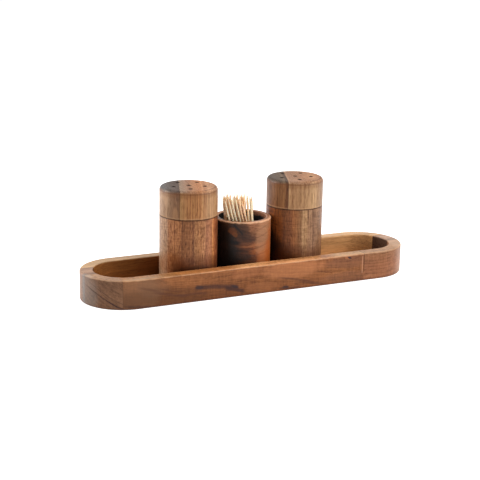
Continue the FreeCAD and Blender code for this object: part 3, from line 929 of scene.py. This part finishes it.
JOINT_STAIN = stain(52, 32, 22)
WISP_STAIN = stain(58, 32, 28)
SOFT_STAIN = stain(84, 48, 34)
tray_seams = [
    seam(TO_BACK, front_line, JOINT_STAIN, 0.12, 0.4),
    seam(TO_BACK, back_line, JOINT_STAIN, 0.12, 0.4),
    dark_foot(0.6),
]
end_seams = [
    seam(ALONG_TRAY, left_butt, JOINT_STAIN, 0.2, 0.2),
    seam(ALONG_TRAY, right_butt, JOINT_STAIN, 0.24, 0.6, (9.0, 30.0)),
    seam(ALONG_TRAY, right_butt - 1.7, stain(206, 150, 116), 0.3, 0.5, (8.0, 22.0)),
]
front_marks = [
    knot(TRAY_FACE, (-116, 12), (19, 30), stain(140, 101, 72), 0.55, 0, 0.3, 28.0),
    knot(TRAY_FACE, (27, 18.5), (30, 9), stain(204, 132, 86), 0.42, 0, 0.5, 21.0),
    knot(TRAY_FACE, (-18, 20), (16, 5), stain(196, 124, 80), 0.3, 0, 0.5, 25.0),
    knot(TRAY_FACE, (-4, 6), (16, 5), stain(176, 112, 70), 0.3, 0, 0.5, 24.0),
    knot(TRAY_FACE, (-98, 6), (46, 12), stain(84, 50, 26), 0.5, 0, 0.3, 22.0),
    knot(TRAY_FACE, (-104, 18), (16, 10), stain(120, 84, 60), 0.4, 0, 0.3, 26.0),
    knot(TRAY_FACE, (84, 19), (28, 6), stain(112, 72, 50), 0.55, 0, 0.5, 23.0),
    knot(TRAY_FACE, (82, 5), (30, 6), stain(140, 106, 88), 0.15, 0, 0.5, 27.0),
    wisp(TRAY_FACE, [(-66, 12.2), (-50, 11.6), (-26, 8.6)], 3.2, WISP_STAIN, 0.75, 2.5, 1.0, 0.6),
    knot(TRAY_FACE, (-62, 12.4), (4.0, 1.8), stain(50, 36, 38), 0.6, -6, 0.6, 2.0),
    knot(TRAY_FACE, (-29, 9.2), (4.0, 1.3), stain(44, 32, 36), 0.75, -20, 0.6, 3.0),
    wisp(TRAY_FACE, [(-38, 8.8), (-30, 6.8), (-20, 4.0)], 2.6, WISP_STAIN, 0.8, 2.0, 4.0, 0.6),
    wisp(TRAY_FACE, [(-78, 6.8), (-66, 7.6), (-54, 6.0)], 1.8, SOFT_STAIN, 0.45, 4.0, 5.0, 0.8),
    wisp(TRAY_FACE, [(-102, 12.2), (-90, 9.4), (-74, 6.6)], 1.7, SOFT_STAIN, 0.5, 5.0, 6.0, 0.8),
    wisp(TRAY_FACE, [(-116, 18), (-108, 16), (-98, 13)], 1.6, SOFT_STAIN, 0.4, 5.0, 7.0, 0.8),
    wisp(TRAY_FACE, [(-97, 15), (-88, 12.5), (-80, 11.5)], 0.9, SOFT_STAIN, 0.35, 4.0, 8.0, 0.8),
    wisp(TRAY_FACE, [(-128, 3), (-118, 2), (-104, 0.6)], 1.5, WISP_STAIN, 0.6, 5.0, 9.0),
    knot(TRAY_FACE, (80.4, 22.8), (2.2, 1.2), stain(190, 116, 72), 0.4, -10, 0.5, 10.0),
    knot(TRAY_FACE, (83.2, 22.7), (2.3, 0.9), stain(40, 34, 42), 0.95, -22, 0.5, 11.0),
    wisp(TRAY_FACE, [(78, 19.5), (86, 20.6), (94, 23)], 0.8, SOFT_STAIN, 0.35, 3.0, 12.0, 0.8),
    knot(TRAY_FACE, (19.6, 3.1), (3.6, 1.3), stain(40, 28, 34), 0.8, -4, 0.6, 13.0),
    wisp(TRAY_FACE, [(14, 2.6), (22, 2.0), (34, 2.0)], 0.9, WISP_STAIN, 0.6, 3.0, 14.0),
    wisp(TRAY_FACE, [(14, 12), (30, 9), (46, 5.2)], 1.3, SOFT_STAIN, 0.6, 5.0, 15.0, 0.7),
    wisp(TRAY_FACE, [(34, 6.4), (45, 4), (58, 1.8)], 1.5, WISP_STAIN, 0.45, 5.0, 16.0, 0.7),
]
end_marks = [
    wisp((ALONG_TRAY, 0.0), [(-151, 16), (-143, 9), (-131, 1.5)], 0.9, WISP_STAIN, 0.8, 3.0, 1.0),
    wisp((ALONG_TRAY, 0.0), [(-150, 20), (-141, 12), (-129, 5)], 0.6, WISP_STAIN, 0.45, 3.0, 2.0),
    wisp((ALONG_TRAY, 0.0), [(-140, 7), (-134, 3), (-126, 0.6)], 1.0, WISP_STAIN, 0.7, 3.0, 3.0),
    wisp((ALONG_TRAY, 0.0), [(-146, 22), (-138, 17), (-130, 13)], 0.6, SOFT_STAIN, 0.4, 3.0, 4.0),
]
tray_front_wood = wood(
    "tray_front_wood",
    ORIGIN,
    ALONG_TRAY,
    UP,
    [
        (0, stain(118, 68, 34)),
        (9, stain(132, 79, 43)),
        (18, stain(140, 86, 48)),
        (25, stain(148, 90, 52)),
    ],
    seed=41.0,
    numbers={
        "heart": (-38.0, 48.0),
        "ring": 2.2,
        "sway": 4.5,
        "slope": 0.06,
        "bands": 0.3,
        "dashes": 0.3,
        "dash_spot": (3.2, 0.9, 0.9),
        "streaks": 0.5,
        "streak_spot": (30.0, 1.0, 1.0),
        "drift": 0.6,
        "strokes": 0.25,
        "ripples": 0.4,
    },
    extras=front_marks
    + tray_seams
    + end_seams
    + [
        # Painted light and a painted grey sheen on the rim's flat, most in front of the pots, and painted highlights
        # along its edges.
        rim_top_light_and_sheen((1.68, 1.85, 1.75)),
        rim_top_light_and_sheen((1.0, 1.16, 1.35), -200.0, -82.0),
        rim_top_light_and_sheen((1.5, 1.8, 2.2), -28.0, 56.0),
        rim_top_light_and_sheen((1.25, 1.35, 1.45), -22.0, 2.0),
        rim_top_light_and_sheen((1.05, 1.5, 2.1), 66.0),
        rim_edge_highlights(stain(222, 170, 128), 0.6),
    ],
)
tray_front_right_wood = wood(
    "tray_front_right_wood",
    ORIGIN,
    ALONG_TRAY,
    UP,
    [
        (0, stain(142, 91, 60)),
        (12, stain(146, 92, 60)),
        (25, stain(143, 95, 62)),
    ],
    seed=47.0,
    numbers={
        "heart": (60.0, 40.0),
        "ring": 2.2,
        "sway": 2.5,
        "bands": 0.25,
        "dashes": 0.3,
        "dash_spot": (3.0, 1.0, 1.0),
        "streaks": 0.4,
        "ripples": 0.3,
        "strokes": 0.2,
    },
    extras=tray_seams
    + end_seams
    # A painted grey reflection on the rounded right end.
    + [knot((ALONG_TRAY, 0.0), (148, 12), (14, 30), stain(180, 140, 114), 0.25, 0, 0.3, 6.0)]
    # Painted light and sheen on the rim's flat, and painted highlights along its edges.
    + [rim_top_light_and_sheen((1.55, 1.9, 2.1)), rim_edge_highlights(stain(214, 170, 132), 0.5)],
)
tray_end_wood = wood(
    "tray_end_wood",
    ORIGIN,
    ALONG_TRAY,
    UP,
    [
        (0, stain(126, 88, 62)),
        (12, stain(140, 100, 70)),
        (25, stain(138, 98, 68)),
    ],
    seed=53.0,
    numbers={
        "heart": (-30.0, 40.0),
        "ring": 3.0,
        "sway": 3.0,
        "slope": 0.5,
        "bands": 0.3,
        "dashes": 0.25,
        "streaks": 0.4,
        "streak_spot": (20.0, 1.4, 1.4),
        "strokes": 0.2,
        "ripples": 0.2,
    },
    # A painted grey reflection on the rounded left end.
    extras=[knot((ALONG_TRAY, 0.0), (-157, 12), (11, 30), stain(134, 127, 120), 0.38, 0, 0.4, 5.0)]
    + end_marks
    + tray_seams
    + end_seams
    # Painted light and sheen on the rim's flat, and painted highlights along its edges.
    + [rim_top_light_and_sheen((1.85, 2.1, 2.15)), rim_top_light_and_sheen((1.0, 1.08, 1.2), -128.0), rim_edge_highlights(stain(206, 164, 132), 0.5)],
)
tray_middle_wood = wood(
    "tray_middle_wood",
    ORIGIN,
    ALONG_TRAY,
    TO_BACK,
    [
        (-10, stain(140, 106, 84)),
        (4, stain(138, 102, 80)),
        (16, stain(136, 100, 78)),
    ],
    seed=59.0,
    numbers={"heart": (30.0, -50.0), "ring": 2.6, "sway": 3.0, "dashes": 0.25},
    extras=[
        # Painted shade in the recess, and a painted grey reflection on the left end.
        recess_shade((0.42, 0.34, 0.22), (0.28, 0.24, 0.22)),
        knot((ALONG_TRAY, 0.0), (-158, 12), (9, 40), stain(116, 124, 126), 0.5, 0, 0.3, 1.0),
    ]
    + tray_seams
    # Painted light and sheen on the rim's flat, and painted highlights along its edges.
    + [rim_top_light_and_sheen((1.28, 1.37, 1.38)), rim_top_light_and_sheen((1.15, 1.2, 1.25), 100.0), rim_edge_highlights(stain(190, 150, 122), 0.4)],
)
tray_back_wood = wood(
    "tray_back_wood",
    ORIGIN,
    ALONG_TRAY,
    UP,
    [
        (0, stain(184, 132, 82)),
        (8, stain(190, 138, 88)),
        (18, stain(194, 144, 94)),
        (25, stain(200, 150, 100)),
    ],
    seed=61.0,
    numbers={"heart": (-70.0, -60.0), "ring": 2.2, "sway": 3.0, "bands": 0.35, "dashes": 0.2, "streaks": 0.5, "strokes": 0.15},
    extras=[
        # Painted shade on the recess wall, darkest at the left.
        recess_shade((0.5, 0.36, 0.22), (0.98, 0.97, 0.95)),
        knot((ALONG_TRAY, 30.0), (-80, 14), (16, 9), stain(122, 64, 26), 0.45, 0, 0.3, 1.0),
        knot((ALONG_TRAY, 30.0), (102, 12), (16, 5), stain(228, 168, 110), 0.4, 0, 0.3, 2.0),
    ]
    + tray_seams
    + [
        # A painted grey sheen on the rim's flat, and a painted highlight along its back edge.
        rim_top_light_and_sheen((0.97, 1.05, 1.17)),
        rim_top_light_and_sheen((0.9, 0.94, 0.99), -200.0, -70.0),
        rim_edge_highlights(stain(224, 190, 152), 0.5, RIM_RADII[:1]),
    ],
)

# %% [markdown]
# ## The hidden rings
# A soft ring in each spigot grips the bore. It shows only when a cap is off. Silicone is
# smooth, a little milky, and picks up dust, so it gets low contrast and a soft sheen.

# %% Silicone
def make_silicone():
    material = bpy.data.materials.new("silicone")
    material.use_nodes = True
    recipe = Recipe(material.node_tree)
    axes = plank_axes(recipe, in_mm(recipe, ORIGIN), ALONG_TRAY, TO_BACK)
    dust = noise(recipe, axes, (1.2, 1.2, 1.2), 3.0, 0.6, 2.0)
    colour = recipe.blend(dust, stain(214, 212, 206), stain(238, 237, 233))
    bump = recipe.node("ShaderNodeBump", inputs={"Strength": 0.2, "Distance": 0.0001, "Height": dust})
    finish = {
        "Base Color": colour,
        "Roughness": dust * 0.2 + 0.38,
        "Normal": bump,
        "IOR": 1.43,
        "Subsurface Weight": 0.15,
        "Subsurface Scale": 0.001,
    }
    skin = recipe.node("ShaderNodeBsdfPrincipled", inputs=finish)
    recipe.node("ShaderNodeOutputMaterial", inputs={"Surface": skin})
    return material


silicone = make_silicone()
print("silicone ready")

# %% [markdown]
# ## Dressing the frame
# The CAD pieces keep their shapes, and each only gets its material.

# %% Give each piece its material
MATERIALS = {
    "salt_shaker_body": salt_body_wood,
    "salt_cap_narrow_stave": salt_cap_woods[0],
    "salt_cap_wide_stave": salt_cap_woods[1],
    "salt_seal_ring": silicone,
    "pepper_shaker_body": pepper_body_wood,
    "pepper_cap_narrow_stave": pepper_cap_woods[0],
    "pepper_cap_wide_stave": pepper_cap_woods[1],
    "pepper_seal_ring": silicone,
    "toothpick_cup": cup_wood,
    "tray_front_left_board": tray_end_wood,
    "tray_front_board": tray_front_wood,
    "tray_front_right_board": tray_front_right_wood,
    "tray_middle_board": tray_middle_wood,
    "tray_back_board": tray_back_wood,
}
for node_name, material in MATERIALS.items():
    for material_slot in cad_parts[node_name].material_slots:
        material_slot.material = material
print(len(MATERIALS), "pieces dressed")

# %% [markdown]
# ## The toothpicks
# A real round toothpick is milled from pale birch, then tumbled, so it is nearly round, a
# little bent, and pointed in a soft curve. The CAD picks are eight-sided and straight. Each
# one is found in the CAD mesh as a separate island, its two ends are measured, and a new
# pick is built between the same ends. Building on the measured ends keeps every pick where
# it stands in the cup. Each gets a tone of its own, stored on the mesh for the material.

# %% Find the picks' ends
TIP_SLICE = 0.00002


def islands(mesh):
    """Groups of points that faces join, after points in one place are merged."""
    points = np.array([v.co for v in mesh.vertices])
    _, merged = np.unique(np.round(points, 6), axis=0, return_inverse=True)
    merged = merged.ravel()
    parent = list(range(int(merged.max()) + 1))

    def root(item):
        while parent[item] != item:
            parent[item] = parent[parent[item]]
            item = parent[item]
        return item

    for face in mesh.polygons:
        corners = [root(int(merged[i])) for i in face.vertices]
        for corner in corners[1:]:
            parent[corner] = corners[0]
    groups = {}
    for index, item in enumerate(merged):
        groups.setdefault(root(int(item)), []).append(index)
    return [points[group] for group in groups.values()]


def pick_ends(points):
    """The lower and the upper end of one pick."""
    middle = points.mean(axis=0)
    direction = np.linalg.svd(points - middle, full_matrices=False)[2][0]
    direction = direction * np.sign(direction[2])
    reach = (points - middle) @ direction
    foot = points[reach < reach.min() + TIP_SLICE].mean(axis=0)
    tip = points[reach > reach.max() - TIP_SLICE].mean(axis=0)
    return Vector(foot), Vector(tip)


picks = sorted((pick_ends(p) for p in islands(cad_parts["toothpicks"].data)), key=lambda e: tuple(e[0]))
print(len(picks), "picks, the first", round(MM * (picks[0][1] - picks[0][0]).length, 2), "mm long")

# %% Build the picks
PICK_RADIUS = 0.00098
PICK_SIDES = 12
PICK_TAPER = 0.0092
PICK_POINT = 0.2  # the tip's share of the full radius
rng = random.Random(7)


def pick_profile(length):
    """Pairs of a distance from the foot and a share of the radius."""
    taper = [(0.0, 0.02), (0.00010, 0.14), (0.0003, PICK_POINT + 0.03)]
    steps = 5
    for step in range(1, steps + 1):
        share = step / steps
        rise = math.sin(share * math.pi / 2) ** 0.92
        taper.append((PICK_TAPER * share, PICK_POINT + (1 - PICK_POINT) * rise))
    mirrored = [(length - at, share) for at, share in reversed(taper)]
    middle = [(length * s, 1.0) for s in (0.3, 0.42, 0.54, 0.66, 0.76)]
    return taper + middle + mirrored


def build_pick(foot, tip):
    """One pick as points and faces, with its own bend, thickness and tone."""
    direction = tip - foot
    length = direction.length
    turn = direction.to_track_quat("Z", "Y")
    bend_way = rng.uniform(0, 2 * math.pi)
    bend = rng.uniform(0.0, 0.00012)
    thickness = rng.uniform(0.96, 1.0)
    oval = rng.uniform(0.95, 1.0)
    points, faces = [], []
    profile = pick_profile(length)
    for at, share in profile:
        sag = bend * math.sin(math.pi * at / length)
        wobble = thickness * (1 + rng.uniform(-0.015, 0.0))
        for side in range(PICK_SIDES):
            angle = 2 * math.pi * side / PICK_SIDES
            radius = PICK_RADIUS * share * wobble
            offset = Vector((
                radius * math.cos(angle) + sag * math.cos(bend_way),
                radius * oval * math.sin(angle) + sag * math.sin(bend_way),
                at,
            ))
            points.append(foot + turn @ offset)
    for ring in range(len(profile) - 1):
        for side in range(PICK_SIDES):
            a = ring * PICK_SIDES + side
            b = ring * PICK_SIDES + (side + 1) % PICK_SIDES
            faces.append((a, b, b + PICK_SIDES, a + PICK_SIDES))
    last = (len(profile) - 1) * PICK_SIDES
    faces.append(tuple(reversed(range(PICK_SIDES))))
    faces.append(tuple(range(last, last + PICK_SIDES)))
    return points, faces


def make_pick_bundle():
    points, faces, tones = [], [], []
    for foot, tip in picks:
        new_points, new_faces = build_pick(foot, tip)
        tones += [rng.random()] * len(new_points)
        faces += [tuple(len(points) + i for i in face) for face in new_faces]
        points += new_points
    mesh = bpy.data.meshes.new("toothpick_bundle")
    mesh.from_pydata([tuple(p) for p in points], [], faces)
    mesh.shade_smooth()
    mesh.attributes.new("tone", "FLOAT", "POINT").data.foreach_set("value", tones)
    bundle = bpy.data.objects.new("toothpick_bundle", mesh)
    bpy.context.scene.collection.objects.link(bundle)
    return bundle


pick_bundle = make_pick_bundle()
print("the bundle has", len(pick_bundle.data.polygons), "faces")

# %% [markdown]
# ## Birch for the picks
# Birch is nearly white with faint straw fibres. Seen in a bundle, the picks differ: most are
# cream, some honey, a few pinkish. The stored tone chooses the stain, and fine upright
# noise adds the fibres.

# %% Pick wood
def make_pick_wood():
    material = bpy.data.materials.new("pick_wood")
    material.use_nodes = True
    recipe = Recipe(material.node_tree)
    tone = recipe.node("ShaderNodeAttribute", {"attribute_name": "tone"}, output="Fac")
    axes = plank_axes(recipe, in_mm(recipe, cup_axis), UP, ACROSS_VIEW)
    fibres = noise(recipe, axes, (9.0, 0.22, 0.22), 3.0, 0.6, 4.0)
    patches = noise(recipe, axes, (14.0, 1.6, 1.6), 2.0, 0.5, 8.0)
    stops = [
        (0.0, stain(244, 206, 164)),
        (0.25, stain(252, 224, 188)),
        (0.5, stain(254, 236, 208)),
        (0.75, stain(252, 216, 184)),
        (1.0, stain(246, 200, 158)),
    ]
    base = recipe.node("ShaderNodeValToRGB", {"stops": stops}, {0: tone})
    share = (fibres - 0.5) * 1.4 + (patches - 0.5) * 0.8 + 0.5
    colour = recipe.tint(base, recipe.blend(share, (0.86, 0.80, 0.72), (1.1, 1.1, 1.1)))
    bump = recipe.node("ShaderNodeBump", inputs={"Strength": 0.3, "Distance": 0.00008, "Height": fibres})
    finish = {
        "Base Color": colour,
        "Roughness": 0.62 - fibres * 0.1,
        "Normal": bump,
        "IOR": 1.4,
        "Subsurface Weight": 0.55,
        "Subsurface Radius": (1.0, 0.85, 0.7),
        "Subsurface Scale": 0.0016,
    }
    skin = recipe.node("ShaderNodeBsdfPrincipled", inputs=finish)
    recipe.node("ShaderNodeOutputMaterial", inputs={"Surface": skin})
    return material


pick_bundle.data.materials.append(make_pick_wood())
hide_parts("toothpicks")
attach(pick_bundle, "picks")
print("picks dressed")

# %% [markdown]
# ## The studio
# The set stands on a plain pale floor in a soft room. One lamp stands to the right, one to
# the left and a little behind, and one behind and above, so that the round pots get bright
# sides, the rims get bright edges, and the narrow gaps between the pots stay deep in shade.
# The picture's background is white: where the camera or a reflection looks at the floor or
# the room, the light path adds a plain white glow, which lights nothing, and the floor still
# shows the object's shadow.

# %% Floor, room and lamps
ROOM_LIGHT = 0.30
FLOOR_GLOW = 0.78
LAMP_TARGET = Vector((0, 0, 0.04))
LAMP_DISTANCE = 1.3
LAMP_SIDE = 0.7
LAMPS = [  # degrees to the right of the camera, degrees up, watts
    ("right_lamp", 74, 22, 9.5),
    ("left_lamp", -102, 20, 13.5),
    ("high_lamp", 160, 50, 4.0),
    ("top_lamp", 40, 66, 6.0),
]


def seen_directly(recipe):
    """1 where the camera or a reflection looks, 0 for light that only bounces."""
    path = recipe.node("ShaderNodeLightPath", output="Is Camera Ray")
    mirrored = Wire(recipe, path.socket.node.outputs["Is Glossy Ray"])
    through = Wire(recipe, path.socket.node.outputs["Is Transmission Ray"])
    return path | mirrored | through


def make_floor():
    half = 12.0
    mesh = bpy.data.meshes.new("studio_floor")
    corners = [(-half, -half, 0), (half, -half, 0), (half, half, 0), (-half, half, 0)]
    mesh.from_pydata(corners, [], [(0, 1, 2, 3)])
    floor = bpy.data.objects.new("studio_floor", mesh)
    bpy.context.scene.collection.objects.link(floor)
    floor.location.z = -0.0002
    material = bpy.data.materials.new("pale_floor")
    material.use_nodes = True
    recipe = Recipe(material.node_tree)
    matt = recipe.node("ShaderNodeBsdfDiffuse", inputs={"Color": (0.86, 0.86, 0.86)})
    glow_inputs = {"Color": (1.0, 1.0, 1.0), "Strength": seen_directly(recipe) * FLOOR_GLOW}
    glow = recipe.node("ShaderNodeEmission", inputs=glow_inputs)
    both = recipe.node("ShaderNodeAddShader", inputs={0: matt, 1: glow})
    recipe.node("ShaderNodeOutputMaterial", inputs={"Surface": both})
    mesh.materials.append(material)
    return floor


def make_room():
    world = bpy.data.worlds.new("white_room")
    world.use_nodes = True
    bpy.context.scene.world = world
    recipe = Recipe(world.node_tree)
    strength = seen_directly(recipe) * (1.0 - ROOM_LIGHT) + ROOM_LIGHT
    inputs = {"Color": (1.0, 1.0, 1.0), "Strength": strength}
    sky = recipe.node("ShaderNodeBackground", inputs=inputs)
    recipe.node("ShaderNodeOutputWorld", inputs={"Surface": sky})


def make_lamp(name, from_view, rise, power):
    data = bpy.data.lights.new(name, "AREA")
    data.shape, data.size, data.energy = "SQUARE", LAMP_SIDE, power
    lamp = bpy.data.objects.new(name, data)
    bpy.context.scene.collection.objects.link(lamp)
    way, up = math.radians(from_view) - HEADING, math.radians(rise)
    level = Vector((math.sin(way), -math.cos(way), 0))
    towards = level * math.cos(up) + UP * math.sin(up)
    lamp.location = LAMP_TARGET + towards * LAMP_DISTANCE
    lamp.rotation_mode = "QUATERNION"
    lamp.rotation_quaternion = (-towards).to_track_quat("-Z", "Y")
    return lamp


make_floor()
make_room()
for name, from_view, rise, power in LAMPS:
    lamp = make_lamp(name, from_view, rise, power)
    print(name, "at", [round(c, 2) for c in lamp.location])
bpy.context.scene.view_settings.view_transform = "Standard"
